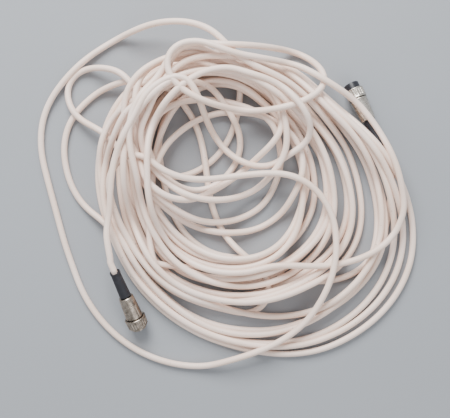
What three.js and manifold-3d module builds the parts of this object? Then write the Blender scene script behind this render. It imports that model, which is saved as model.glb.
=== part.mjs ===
// A loose roll of off-white speaker cable lying on a level surface, with a locking plug on each end.
// Millimetres, +Z up. The origin is at the centre of the whole footprint, on the surface it lies on.
import * as THREE from "three";
import Module from "manifold-3d";
import { mergeVertices } from "three/addons/utils/BufferGeometryUtils.js";

// Middle of the whole footprint, in the coordinates that the routes and places below are given in
const FOOTPRINT_CENTRE = [2.3, -1];

// Cable
const CABLE_D = 5.4;
const CABLE_R = CABLE_D / 2;
const CABLE_SIDES = 8;
const TUBE_STEP = 14;

// How the loose strands lie
const JOINT_GAP = 0.3;
const LAY_GAP = 0.4;
const ROLL_LAY_GAP = 0.1;
const LAY_SAMPLE = 2;
const LAY_BEND_R = 210;

// Wound part of the roll: its bore and its rim are closed curves around ROLL_CENTRE,
// given by the radius of the innermost and outermost strand every 30 degrees from +X.
const ROLL_CENTRE = [2.6, 19.6];
const BORE_RADII = [66, 63, 66, 77, 80, 74, 68, 71, 75, 78.5, 80.5, 73];
const RIM_RADII = [145, 111, 104.5, 101.5, 111, 117, 115, 116, 132, 152, 177, 180];
const ROLL_HEIGHTS = [12, 12, 14.5, 18.5, 18.5, 17.5, 17.5, 16.5, 14, 11.5, 10.5, 10.5];
const ROLL_SEGMENTS = 48;
const ROLL_LANES = 9;
const LANE_POINTS = 3;
const LANE_DIP = 0.16;
const ROLL_SHOULDER = 2.3;

// Plugs: lengths run along the plug's axis, radii are measured from it
const BOOT_LENGTH = 25;
const BOOT_TAIL_R = 4.25;
const BOOT_LIP_R = 4.6;
const BOOT_LIP_LENGTH = 1.6;
const BOOT_FRONT_R = 4.9;
const BODY_LENGTH = 20.5;
const BODY_TAIL_R = 6.3;
const BODY_FRONT_R = 7.6;
const BODY_CHAMFER = 0.8;
const BODY_SEAM_AT = 8;
const BODY_SEAM_DEPTH = 0.35;
const BODY_SEAM_WIDTH = 0.7;
const RING_LENGTH = 9;
const RING_FLUTES = 24;
const FLUTE_DEPTH = 0.5;
const RING_RUNNING_GAP = 0.4;
const ROUND_SIDES = 32;
const SCREW_R = 1.1;
const SCREW_LENGTH = 1.6;
const SCREW_PROUD = 0.25;
const SCREW_AT = 6.5;

// Front of the pin plug
const PIN_RING_R = 9.3;
const PIN_RING_TAPER = 0.08;
const SHIELD_R = 6.6;
const SHIELD_WALL = 0.6;
const SHIELD_PROUD = 2.2;
const INSULATOR_LENGTH = 3;
const PIN_R = 0.72;
const PIN_LENGTH = 6.6;
const PIN_CIRCLE_R = 3.5;
const PIN_ARC_COUNT = 7;
const PIN_ARC = (262 * Math.PI) / 180;

// Front of the socket plug
const SOCKET_RING_R = 8.3;
const SOCKET_RING_TAPER = 0.02;
const NOSE_R = 6.6;
const NOSE_PROUD = 5.6;
const NOSE_EDGE = 0.9;
const CONTACT_HOLE_R = 0.85;
const CONTACT_HOLE_DEPTH = 4;

// Where the plugs lie: the centre of the knurled ring's front, the way the nose points
// seen from above, how far it dips, and the turn of the body's screw about the axis
const PIN_PLUG = { front: [-73.5, -114.5, 9.2], heading: [0.35, -0.937], dip: 22, roll: -40 };
const SOCKET_PLUG = { front: [111.4, 87.9, 8.4], heading: [-0.42, 0.9075], dip: 10, roll: 65 };

// Routes of the loose strands seen from above, listed from the lowest to the topmost.
// They lie on the roll, on the plugs and on the strands listed before them. Those in
// RUN_UNDER end inside the roll, so their tube stops at its side.
const ROUTES = {
  small_left_loop: [
    [-80, 93], [-84, 99], [-89.5, 104], [-98, 107], [-108, 108.3], [-119, 107], [-129, 101.8],
    [-134.6, 93.5], [-136, 84.4], [-133.5, 74.8], [-128, 66], [-119.5, 60], [-108, 54],
  ],
  second_left_loop: [
    [-72, 94.5], [-78, 96.5], [-86, 96.5], [-95, 93.5], [-108, 87.4], [-118.3, 79.2], [-128, 69.2],
    [-134.6, 58], [-138, 45.7], [-138.6, 33.5], [-136.6, 19.6], [-132.2, 5.7], [-125.3, -6.5],
    [-116.6, -16], [-106, -24], [-97, -33],
  ],
  strand_under_bore: [
    [-47, 90], [-41.8, 83], [-34, 74.4], [-27.8, 65.7], [-23.5, 56], [-20, 45.7], [-17.4, 33.5],
    [-15.7, 21.3], [-14, 8.3], [-12.2, -3], [-9.6, -14.4], [-5.7, -24.8], [-1, -34.4],
    [5.2, -42.6], [13, -50.5], [21.8, -57.9],
  ],
  strand_down_bore: [
    [14, 91], [13.5, 79.6], [11.7, 68.3], [8.7, 57], [4.4, 46.5], [-1.7, 36.5], [-10.4, 27],
    [-21, 19.6], [-32.2, 14.8], [-45, 13], [-56, 16], [-64, 23],
  ],
  wide_inner_turn: [
    [-64.5, 0], [-62.5, 13], [-58, 25.5], [-50.5, 40.5], [-41.8, 49.6], [-31.3, 57.9], [-20, 63.9],
    [-7.8, 68.3], [5.2, 69.3], [20, 68.9], [34, 66.3], [48.5, 58.7], [60, 49.2], [67, 36],
    [68.7, 23], [66.6, 10.9], [62.6, 2.2], [57, -8.3], [49.6, -18.3], [40, -26], [28.7, -31.8],
    [15.7, -34.6], [1.7, -35], [-12.2, -33.5], [-25.2, -29.6], [-37.4, -23.5], [-48.7, -15.2],
    [-59.2, -5.2], [-67.9, 5.7], [-74, 17.8],
  ],
  middle_inner_turn: [
    [-71, 44], [-67.5, 54], [-61, 63], [-52, 71.5], [-42, 77], [-30, 79.7], [-18, 80.4],
    [-5, 79.6], [7, 77.5], [19, 73.8], [31, 68.6], [41, 61.2], [46.3, 50], [48.7, 37], [49.4, 25],
    [48, 17.8], [45.2, 9], [40, -2.2], [33, -11.7], [22.6, -19], [10.4, -23.9], [-2.6, -26],
    [-15.7, -25.7], [-28.7, -22.2], [-40, -16], [-51.3, -8.3], [-61.8, 2.2], [-69.6, 13.5],
    [-74.8, 25.7],
  ],
  short_inner_turn: [
    [4.4, 70], [8.3, 63], [12.6, 54.4], [14.4, 44], [13.5, 33.5], [9.6, 24], [3.5, 15.2],
    [-5.2, 7.4], [-15.7, 2.6], [-27, 1.3], [-37.4, 4], [-46, 9], [-55, 17], [-62, 27],
  ],
  slanting_strand: [
    [46, 47.4], [38.3, 38.7], [29.6, 30.5], [21, 22.6], [12.2, 15.2], [2.6, 8.3], [-7.8, 2.2],
    [-18.3, -3.5], [-29.6, -6.5], [-41, -6], [-51.3, -2.6], [-61, 4], [-69, 13],
  ],
  upper_inner_turn: [
    [-24.4, 127], [-14.8, 123.5], [-3.5, 117.9], [9.6, 111.4], [23, 104], [33, 96.6],
    [41.8, 88.3], [48, 78.3], [52.2, 66.6], [54.4, 54.4], [54.4, 41.3], [51.3, 30], [45.2, 20.4],
    [37.4, 11], [28.7, 3], [18.3, -2.2], [6, -5.7], [-6, -6.8], [-18.3, -6], [-29.6, -3],
    [-41, 2.2], [-51.3, 10], [-61, 19.6], [-68, 30], [-71.3, 42.2], [-72.6, 54.4],
  ],
  strand_over_plug: [
    [66, 109.2], [79.2, 102.7], [92.2, 94.8], [105.3, 86], [115.7, 77.4], [124.4, 67.4],
    [132.2, 56.6], [140, 44], [147, 30], [152, 15.2], [155, 0], [156, -16],
  ],
  top_right_loop: [
    [-2, 128.6], [10.4, 128.3], [24.4, 127.5], [40, 125.7], [54.8, 123], [68, 118.8],
    [78.3, 112.7], [85.7, 105.3], [88, 97.4], [84.8, 90], [77.4, 84], [67, 78.7], [54.8, 74.8],
    [41.8, 72], [27.8, 70.6], [14.8, 71], [1.7, 73.5], [-9.6, 76.7], [-20, 80.6], [-30.5, 86],
    [-39.2, 92.2], [-45.2, 98.7], [-49.2, 107.4], [-49.6, 115.7], [-46, 123], [-38.3, 129.2],
    [-27, 131.4], [-17.5, 130.6], [-9.6, 128],
  ],
  big_outer_loop: [
    [33, 112.5], [19, 119.2], [8, 125.7], [1, 131.5], [-9.6, 140], [-24.4, 146.4], [-41, 148.6],
    [-60, 146.6], [-77.4, 140.5], [-100, 128.5], [-121, 114.4], [-134, 102], [-144.6, 89],
    [-153, 74.4], [-157.6, 59.6], [-158.8, 44.8], [-157.5, 30], [-153.6, 13.5], [-146, -15],
    [-137.5, -45.7], [-131.5, -63], [-124, -83], [-114.8, -99.6], [-101.8, -116], [-84.4, -131],
    [-64.4, -142], [-41, -149], [-16.5, -150.5], [5.2, -145.7], [26, -139.2], [44.4, -131.4],
    [60, -121.8], [74, -108.8], [84.4, -93.5], [92.2, -77], [96.6, -58.7], [97.4, -41.3],
    [94.8, -23], [89.6, -11], [81, 1], [69.6, 10], [56.6, 15.2], [41.8, 16.7], [24.4, 15.7],
    [5.2, 13.5], [-14, 11.3], [-29.6, 11.7], [-43.5, 15.2], [-54.8, 20.4], [-64.4, 28.3],
  ],
};

// The topmost strand runs from the pin plug's boot over the roll and down into the bore
const PIN_LEAD_ROUTE = [
  [-94.4, -56], [-96.3, -46], [-98, -34], [-98.9, -20.4], [-98.9, -6.5], [-98.3, 7.4],
  [-96.6, 21.3], [-93, 35.2], [-88, 48.3], [-81, 61.8], [-74.8, 73.5], [-68.7, 84.4],
  [-61, 92.2], [-51.3, 98.3], [-41.8, 101.4], [-34.4, 100.3], [-29, 95.7], [-25.2, 89.2],
  [-21.3, 81], [-18.3, 71.3], [-14.8, 61.8], [-9.6, 51], [-3.5, 41.8], [3.5, 34.4], [12.2, 28.3],
  [21.8, 24], [31.3, 22.2], [40, 23], [48, 27], [53.5, 34],
];
const RUN_UNDER = ["small_left_loop", "second_left_loop"];
const LEAD_BEND_R = 55;
const SOCKET_LEAD_ROUTE = [[138.6, 29], [142.5, 15], [144, 0], [143, -16], [139, -34], [132, -50]];

const wasm = await Module();
wasm.setup();

const materials = {
  jacket: new THREE.MeshStandardMaterial({ color: 0xe4dbd4, roughness: 0.5, metalness: 0 }),
  rubber: new THREE.MeshStandardMaterial({ color: 0x22232a, roughness: 0.75, metalness: 0 }),
  nickel: new THREE.MeshStandardMaterial({ color: 0xb5aea4, roughness: 0.3, metalness: 1 }),
  insulator: new THREE.MeshStandardMaterial({ color: 0x26272e, roughness: 0.5, metalness: 0 }),
  pin: new THREE.MeshStandardMaterial({ color: 0xc9b27a, roughness: 0.3, metalness: 1 }),
};

const part = new THREE.Group();
part.position.set(-FOOTPRINT_CENTRE[0], -FOOTPRINT_CENTRE[1], 0);

function addMesh(parent, name, geometry, material) {
  const mesh = new THREE.Mesh(geometry, material);
  mesh.name = name;
  parent.add(mesh);
  return mesh;
}

// Value at an angle of a closed smooth curve through equally spaced values
function around(values, angle) {
  const turns = angle / (2 * Math.PI);
  const place = (turns - Math.floor(turns)) * values.length;
  const first = Math.floor(place) % values.length;
  const share = place - Math.floor(place);
  const at = (k) => values[(first + k + values.length) % values.length];
  const a = 2 * at(0);
  const b = at(1) - at(-1);
  const c = 2 * at(-1) - 5 * at(0) + 4 * at(1) - at(2);
  const d = -at(-1) + 3 * at(0) - 3 * at(1) + at(2);
  return 0.5 * (a + b * share + c * share ** 2 + d * share ** 3);
}

// Height of the roll's rounded top over its width: 0 at the edges, 1 in the middle
function shoulder(across) {
  const side = Math.min(1, Math.abs(2 * across - 1));
  return Math.sqrt(1 - side ** ROLL_SHOULDER);
}

// Surface radii of the bore and the rim at an angle
function rollEdges(angle) {
  return [around(BORE_RADII, angle) - CABLE_R, around(RIM_RADII, angle) + CABLE_R];
}

// Height of the roll's top over a point, or 0 beside the roll
function rollTop(x, y) {
  const dx = x - ROLL_CENTRE[0];
  const dy = y - ROLL_CENTRE[1];
  const angle = Math.atan2(dy, dx);
  const [inner, outer] = rollEdges(angle);
  const across = (Math.hypot(dx, dy) - inner) / (outer - inner);
  if (across <= 0 || across >= 1) return 0;
  return around(ROLL_HEIGHTS, angle) * shoulder(across);
}

// The wound part: a turned ring with a lane for each visible turn, drawn out to its bore and rim.
// With a grow it is that much larger all round.
function rollGeometry(grow = 0) {
  const profile = [new THREE.Vector2(1, 0)];
  const count = ROLL_LANES * LANE_POINTS;
  for (let i = 1; i < count; i++) {
    const dip = i % LANE_POINTS === 0 ? LANE_DIP : 0;
    profile.push(new THREE.Vector2(1 + i / count, shoulder(i / count) * (1 - dip)));
  }
  profile.push(new THREE.Vector2(2, 0), new THREE.Vector2(1, 0));
  const ring = new THREE.LatheGeometry(profile.reverse(), ROLL_SEGMENTS);
  const position = ring.getAttribute("position");
  for (let i = 0; i < position.count; i++) {
    const angle = Math.atan2(position.getX(i), position.getZ(i));
    const across = Math.hypot(position.getX(i), position.getZ(i)) - 1;
    const [inner, outer] = rollEdges(angle);
    const radius = inner - grow + across * (outer - inner + 2 * grow);
    const height = position.getY(i) * (around(ROLL_HEIGHTS, angle) + grow) - grow;
    position.setXYZ(
      i,
      ROLL_CENTRE[0] + radius * Math.cos(angle),
      ROLL_CENTRE[1] + radius * Math.sin(angle),
      height,
    );
  }
  return ring;
}

// A plug's axis as a unit vector pointing out of its nose
function plugAxis(plug) {
  const dip = THREE.MathUtils.degToRad(plug.dip);
  const flat = new THREE.Vector2(...plug.heading).normalize().multiplyScalar(Math.cos(dip));
  return new THREE.Vector3(flat.x, flat.y, -Math.sin(dip));
}

// A point on a plug's axis, a distance behind the front of its ring
function plugPoint(plug, behind) {
  return new THREE.Vector3(...plug.front).addScaledVector(plugAxis(plug), -behind);
}

const BODY_START = RING_LENGTH + RING_RUNNING_GAP;
const BOOT_START = BODY_START + BODY_LENGTH + JOINT_GAP;
const BOOT_END = BOOT_START + BOOT_LENGTH;

// Radius of a plug a distance behind the front of its ring
function plugRadius(ringR, noseR, behind) {
  if (behind < 0) return noseR;
  if (behind < BODY_START) return ringR;
  if (behind < BOOT_START) {
    return THREE.MathUtils.mapLinear(behind, BODY_START, BOOT_START, BODY_FRONT_R, BODY_TAIL_R);
  }
  return BOOT_FRONT_R;
}

// Supports that a strand can lie on: points with a radius
const supports = [];

function addPlugSupports(plug, ringR, noseR, nosePast) {
  for (let behind = -nosePast; behind <= BOOT_END; behind += LAY_SAMPLE) {
    supports.push({ at: plugPoint(plug, behind), r: plugRadius(ringR, noseR, behind), plug });
  }
}

// Lowest height of a strand's centre over a point, resting on the floor, the roll and the supports.
// The strand that leaves a plug isn't lifted by that plug.
function restHeight(x, y, onRoll, ownPlug) {
  const reach = CABLE_R + ROLL_LAY_GAP;
  let height = CABLE_R;
  for (let ring = 0; ring <= 2; ring++) {
    const off = (reach * ring) / 2.2;
    const lift = Math.sqrt(reach ** 2 - off ** 2);
    for (let k = 0; k < (ring ? 8 : 1); k++) {
      const turn = (k * Math.PI) / 4;
      const top = rollTop(x + off * Math.cos(turn), y + off * Math.sin(turn));
      if (onRoll && top > 0) height = Math.max(height, top + lift);
    }
  }
  for (const { at, r, plug } of supports) {
    if (plug && plug === ownPlug) continue;
    const clear = CABLE_R + r + LAY_GAP;
    const apart = Math.hypot(x - at.x, y - at.y);
    if (apart < clear) height = Math.max(height, at.z + Math.sqrt(clear ** 2 - apart ** 2));
  }
  return height;
}

// Points of a route at even distances, laid over all that lies below it. A strand is carried
// where something is under it, and falls away from there in a bend of LAY_BEND_R. The second
// half of a strand that runs under the roll isn't lifted by the roll.
function layStrand(route, { lead, plug, runsUnder } = {}) {
  const flat = new THREE.CatmullRomCurve3(
    route.map(([x, y]) => new THREE.Vector3(x, y, 0)),
    false,
    "centripetal",
  );
  const count = Math.round(flat.getLength() / LAY_SAMPLE);
  const points = flat.getSpacedPoints(count);
  const step = flat.getLength() / count;
  const rest = points.map((p, i) => {
    return restHeight(p.x, p.y, !runsUnder || i < count / 2, plug);
  });
  points.forEach((p, i) => {
    p.z = rest.reduce((best, h, j) => {
      return Math.max(best, h - ((i - j) * step) ** 2 / (2 * LAY_BEND_R));
    }, 0);
  });
  if (lead) points.forEach((p, i) => (p.z = Math.max(p.z, lead(i * step))));
  return points;
}

// A closed tube along laid points
function tubeGeometry(points) {
  const path = new THREE.CatmullRomCurve3(points, false, "centripetal");
  path.arcLengthDivisions = 4 * points.length;
  const section = new THREE.Shape();
  for (let k = 0; k < CABLE_SIDES; k++) {
    const turn = (2 * Math.PI * (k + 0.5)) / CABLE_SIDES;
    const point = [CABLE_R * Math.cos(turn), CABLE_R * Math.sin(turn)];
    if (k) section.lineTo(...point);
    else section.moveTo(...point);
  }
  const steps = Math.max(2, Math.round(path.getLength() / TUBE_STEP));
  return new THREE.ExtrudeGeometry(section, { steps, extrudePath: path, bevelEnabled: false });
}

function addStrand(name, points, runsUnder) {
  let geometry = tubeGeometry(points);
  if (runsUnder) {
    geometry = toGeometry(toSolid(geometry).subtract(toSolid(rollGeometry(JOINT_GAP))));
  }
  addMesh(part, name, geometry, materials.jacket);
  points.forEach((at) => supports.push({ at, r: CABLE_R }));
}

// A strand that leaves a plug: straight out of the boot, then in a bend down to what it lies on
function addLead(name, plug, route) {
  const exit = plugPoint(plug, BOOT_END + JOINT_GAP);
  const axis = plugAxis(plug);
  const slope = -axis.z / Math.hypot(axis.x, axis.y);
  const crest = slope * LEAD_BEND_R;
  const lead = (s) => {
    const bend = s < crest ? LEAD_BEND_R : LAY_BEND_R;
    return exit.z + (slope * crest) / 2 - (s - crest) ** 2 / (2 * bend);
  };
  addStrand(name, layStrand([[exit.x, exit.y], ...route], { lead, plug }));
}

// A turned solid about the plug's axis from pairs of radius and distance along it
function turned(pairs) {
  const profile = pairs.map(([r, along]) => new THREE.Vector2(r, along));
  return new THREE.LatheGeometry(profile, ROUND_SIDES).rotateX(Math.PI / 2);
}

function toSolid(geometry) {
  const bare = geometry.index ? geometry.toNonIndexed() : geometry.clone();
  bare.deleteAttribute("normal");
  bare.deleteAttribute("uv");
  const merged = mergeVertices(bare, 1e-4);
  return new wasm.Manifold(
    new wasm.Mesh({
      numProp: 3,
      vertProperties: merged.getAttribute("position").array,
      triVerts: new Uint32Array(merged.index.array),
    }),
  );
}

function toGeometry(solid) {
  const mesh = solid.getMesh();
  return new THREE.BufferGeometry()
    .setAttribute("position", new THREE.BufferAttribute(new Float32Array(mesh.vertProperties), 3))
    .setIndex(new THREE.BufferAttribute(new Uint32Array(mesh.triVerts), 1));
}

function cylinder(radius, from, to, sides = 12) {
  return new THREE.CylinderGeometry(radius, radius, to - from, sides)
    .rotateX(Math.PI / 2)
    .translate(0, 0, (from + to) / 2);
}

// Moulded strain relief, tapered to the cable, with a lip at its tail
function bootGeometry() {
  const front = -BOOT_START;
  const tail = -BOOT_END;
  return turned([
    [0, tail],
    [BOOT_LIP_R, tail],
    [BOOT_LIP_R, tail + BOOT_LIP_LENGTH],
    [BOOT_TAIL_R, tail + 2 * BOOT_LIP_LENGTH],
    [BOOT_FRONT_R, front],
    [0, front],
  ]);
}

// Distance from the axis to the body's skin, a distance behind its front
function bodySkin(behindFront) {
  return THREE.MathUtils.lerp(BODY_FRONT_R, BODY_TAIL_R, behindFront / BODY_LENGTH);
}

// Metal body: tapered, with a seam around it and a pocket for its screw
function bodyGeometry() {
  const tail = -BODY_START - BODY_LENGTH;
  const front = -BODY_START;
  const seam = front - (BODY_LENGTH - BODY_SEAM_AT);
  const seamR = bodySkin(front - seam);
  const body = toSolid(
    turned([
      [0, tail],
      [BODY_TAIL_R - BODY_CHAMFER, tail],
      [BODY_TAIL_R, tail + BODY_CHAMFER],
      [seamR, seam - BODY_SEAM_WIDTH / 2],
      [seamR - BODY_SEAM_DEPTH, seam],
      [seamR, seam + BODY_SEAM_WIDTH / 2],
      [BODY_FRONT_R, front - BODY_CHAMFER],
      [BODY_FRONT_R - BODY_CHAMFER, front],
      [0, front],
    ]),
  );
  const depth = SCREW_LENGTH - SCREW_PROUD + JOINT_GAP;
  const skin = bodySkin(BODY_LENGTH - SCREW_AT);
  const pocket = toSolid(screwPlace(cylinder(SCREW_R + JOINT_GAP, skin - depth, skin + SCREW_R)));
  return toGeometry(body.subtract(pocket));
}

// Turns a piece made along +Z to stand out of the body's side where its screw is
function screwPlace(geometry) {
  return geometry.rotateY(Math.PI / 2).translate(0, 0, -BODY_START - BODY_LENGTH + SCREW_AT);
}

function screwGeometry() {
  const top = bodySkin(BODY_LENGTH - SCREW_AT) + SCREW_PROUD;
  return screwPlace(cylinder(SCREW_R, top - SCREW_LENGTH, top));
}

// Knurled coupling ring: flutes outside, a plain bore. The taper is the share that its front narrows
function ringGeometry(ringR, ringTaper, boreR) {
  const outline = new THREE.Shape();
  for (let k = 0; k < 4 * RING_FLUTES; k++) {
    const turn = (2 * Math.PI * k) / (4 * RING_FLUTES);
    const radius = k % 4 < 2 ? ringR : ringR - FLUTE_DEPTH;
    const point = [radius * Math.cos(turn), radius * Math.sin(turn)];
    if (k) outline.lineTo(...point);
    else outline.moveTo(...point);
  }
  const bore = new THREE.Path();
  for (let k = 0; k < ROUND_SIDES; k++) {
    const turn = (-2 * Math.PI * k) / ROUND_SIDES;
    const point = [boreR * Math.cos(turn), boreR * Math.sin(turn)];
    if (k) bore.lineTo(...point);
    else bore.moveTo(...point);
  }
  outline.holes.push(bore);
  const ring = new THREE.ExtrudeGeometry(outline, { depth: RING_LENGTH, bevelEnabled: false });
  ring.translate(0, 0, -RING_LENGTH);
  const position = ring.getAttribute("position");
  const innerR = boreR + JOINT_GAP;
  for (let i = 0; i < position.count; i++) {
    const radius = Math.hypot(position.getX(i), position.getY(i));
    const taper = 1 - ringTaper * (1 + position.getZ(i) / RING_LENGTH);
    if (radius < innerR) continue;
    position.setX(i, position.getX(i) * taper);
    position.setY(i, position.getY(i) * taper);
  }
  return ring;
}

// Round metal shield of the pin plug, open at its front, with a floor at the body
function shieldGeometry() {
  const inner = SHIELD_R - SHIELD_WALL;
  const floor = -BODY_START + JOINT_GAP;
  return turned([
    [0, floor],
    [SHIELD_R, floor],
    [SHIELD_R, SHIELD_PROUD],
    [inner, SHIELD_PROUD],
    [inner, floor + SHIELD_WALL],
    [0, floor + SHIELD_WALL],
  ]);
}

const INSULATOR_FLOOR = -BODY_START + 2 * JOINT_GAP + SHIELD_WALL;
const INSULATOR_FACE = INSULATOR_FLOOR + INSULATOR_LENGTH;

function insulatorGeometry() {
  return cylinder(SHIELD_R - SHIELD_WALL - JOINT_GAP, INSULATOR_FLOOR, INSULATOR_FACE, ROUND_SIDES);
}

// Centres of the contacts: one in the middle and the rest on an arc open at the key
function contactCentres() {
  const centres = [[0, 0]];
  for (let k = 0; k < PIN_ARC_COUNT; k++) {
    const turn = Math.PI / 2 - PIN_ARC / 2 + (PIN_ARC * k) / (PIN_ARC_COUNT - 1);
    centres.push([PIN_CIRCLE_R * Math.cos(turn), PIN_CIRCLE_R * Math.sin(turn)]);
  }
  return centres;
}

function pinGeometry([x, y]) {
  const from = INSULATOR_FACE + JOINT_GAP;
  return cylinder(PIN_R, from, from + PIN_LENGTH, 8).translate(x, y, 0);
}

// Insulating nose of the socket plug, with a blind hole for each contact
function noseGeometry() {
  const floor = -BODY_START + JOINT_GAP;
  let nose = toSolid(
    turned([
      [0, floor],
      [NOSE_R, floor],
      [NOSE_R, NOSE_PROUD - NOSE_EDGE],
      [NOSE_R - NOSE_EDGE, NOSE_PROUD],
      [0, NOSE_PROUD],
    ]),
  );
  for (const [x, y] of contactCentres()) {
    const hole = cylinder(CONTACT_HOLE_R, NOSE_PROUD - CONTACT_HOLE_DEPTH, NOSE_PROUD + 1, 8);
    nose = nose.subtract(toSolid(hole.translate(x, y, 0)));
  }
  return toGeometry(nose);
}

// A group whose +Z is the plug's axis and whose origin is the front of its ring
function plugGroup(plug) {
  const group = new THREE.Group();
  group.position.set(...plug.front);
  group.quaternion.setFromUnitVectors(new THREE.Vector3(0, 0, 1), plugAxis(plug));
  group.rotateZ(THREE.MathUtils.degToRad(plug.roll));
  part.add(group);
  return group;
}

function addPlugTail(group, kind) {
  addMesh(group, "boot_" + kind, bootGeometry(), materials.rubber);
  addMesh(group, "body_" + kind, bodyGeometry(), materials.nickel);
  addMesh(group, "body_screw_" + kind, screwGeometry(), materials.nickel);
}

function addPinPlug() {
  const group = plugGroup(PIN_PLUG);
  addPlugTail(group, "pin_plug");
  const ring = ringGeometry(PIN_RING_R, PIN_RING_TAPER, SHIELD_R + RING_RUNNING_GAP);
  addMesh(group, "coupling_ring_pin_plug", ring, materials.nickel);
  addMesh(group, "shield_pin_plug", shieldGeometry(), materials.nickel);
  addMesh(group, "insulator_pin_plug", insulatorGeometry(), materials.insulator);
  contactCentres().forEach((centre, k) => {
    addMesh(group, "contact_pin_" + (k + 1), pinGeometry(centre), materials.pin);
  });
  addPlugSupports(PIN_PLUG, PIN_RING_R, SHIELD_R, SHIELD_PROUD);
}

function addSocketPlug() {
  const group = plugGroup(SOCKET_PLUG);
  addPlugTail(group, "socket_plug");
  const ring = ringGeometry(SOCKET_RING_R, SOCKET_RING_TAPER, NOSE_R + RING_RUNNING_GAP);
  addMesh(group, "coupling_ring_socket_plug", ring, materials.nickel);
  addMesh(group, "nose_socket_plug", noseGeometry(), materials.insulator);
  addPlugSupports(SOCKET_PLUG, SOCKET_RING_R, NOSE_R, NOSE_PROUD);
}

addMesh(part, "wound_roll", rollGeometry(), materials.jacket);
addPinPlug();
addSocketPlug();
addLead("lead_from_socket_plug", SOCKET_PLUG, SOCKET_LEAD_ROUTE);
for (const [name, route] of Object.entries(ROUTES)) {
  const runsUnder = RUN_UNDER.includes(name);
  addStrand(name, layStrand(route, { runsUnder }), runsUnder);
}
addLead("lead_from_pin_plug", PIN_PLUG, PIN_LEAD_ROUTE);

export default part;
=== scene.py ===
"""A loose roll of off-white speaker cable with a nickel-plated locking plug on each end."""

import bpy
import numpy as np
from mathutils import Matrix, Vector


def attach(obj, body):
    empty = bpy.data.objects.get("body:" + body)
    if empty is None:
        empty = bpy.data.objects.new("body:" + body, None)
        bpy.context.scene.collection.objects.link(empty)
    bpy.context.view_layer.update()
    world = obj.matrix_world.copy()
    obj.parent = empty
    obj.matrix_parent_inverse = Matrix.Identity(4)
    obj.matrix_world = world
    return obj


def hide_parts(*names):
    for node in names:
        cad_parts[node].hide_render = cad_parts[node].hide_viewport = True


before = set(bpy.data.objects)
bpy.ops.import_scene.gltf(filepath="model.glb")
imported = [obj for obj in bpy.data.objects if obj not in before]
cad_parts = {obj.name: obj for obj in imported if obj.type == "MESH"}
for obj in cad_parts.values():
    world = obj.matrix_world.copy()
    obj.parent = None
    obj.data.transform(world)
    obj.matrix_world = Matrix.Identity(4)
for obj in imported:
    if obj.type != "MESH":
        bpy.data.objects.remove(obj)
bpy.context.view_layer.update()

# All lengths are in metres. The routes are given about FOOTPRINT_CENTRE, which is the CAD's origin.
FOOTPRINT_CENTRE = np.array([0.0023, -0.001])

# Camera: straight above the middle of the picture, which shows VIEW_WIDTH of the floor
CAMERA_OVER = (-0.0014, -0.0134)
CAMERA_HEIGHT = 0.75
VIEW_WIDTH = 0.3915
SENSOR_WIDTH = 0.036

# Cable
CABLE_D = 0.0054
CABLE_R = CABLE_D / 2
CABLE_SIDES = 14
CABLE_STEP = 0.0035
SPLINE_STEPS = 24
ROUTE_SOFTENING = 5
HEIGHT_SOFTENING = 8
ENDS_HELD = 4

# How the cable is laid. Strands touch at LAY_CONTACT, which presses their soft jackets together a
# little. From what it rests on, a strand falls away with its bend radius, by LAY_FALL at most.
# Points up to LAY_SKIP steps apart belong to one bend and don't rest on each other. The heights are
# worked out LAY_ROUNDS times, or until they change by less than LAY_SLACK.
LAY_CONTACT = 0.0053
LAY_BEND_R = 0.040
BIG_LOOP_BEND_R = 0.20
HOOK_BEND_R = 0.030
LAY_FALL = 0.03
LAY_SLACK = 0.00003
LAY_ROUNDS = 60
LAY_SKIP = 12
LAY_BLOCK = 400
HIGHEST_CENTRE = 0.0452

# Wound part: lanes lie between guide curves around ROLL_CENTRE. A guide has its lane, from 0 at the
# bore to 1 at the rim and less than 0 inside the bore, and its radius every 30 degrees from +X. Each
# turn goes on to the next lane of LANE_ORDER, counted in parts of LANES_ACROSS.
ROLL_CENTRE = np.array([0.0026, 0.0196])
LANE_GUIDES = [
    (-0.25, (0.064, 0.061, 0.064, 0.072, 0.069, 0.059, 0.052, 0.056, 0.066, 0.075, 0.078, 0.071)),
    (0.00, (0.066, 0.063, 0.066, 0.077, 0.080, 0.074, 0.068, 0.071, 0.075, 0.0785, 0.0805, 0.073)),
    (0.62, (0.110, 0.094, 0.091, 0.093, 0.099, 0.099, 0.094, 0.098, 0.113, 0.118, 0.122, 0.127)),
    (0.72, (0.122, 0.100, 0.094, 0.095, 0.101, 0.103, 0.098, 0.103, 0.119, 0.140, 0.146, 0.143)),
    (1.00, (0.147, 0.111, 0.104, 0.101, 0.111, 0.117, 0.115, 0.116, 0.131, 0.151, 0.177, 0.180)),
]
LANES_ACROSS = 8
LANE_ORDER = (-2, 0, 2, 4, 6, 8, 7, 5, 3, 1, -1, 0, 2, 4, 6, 8, 7, 5, 3, 1)
LANE_WANDER = 0.025
WANDER_RATES = (0.73, 1.61, 2.87)
WANDER_SEED = 7
RING_POINT_SPACING = np.radians(9)
RING_BLEND = np.radians(55)

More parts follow.
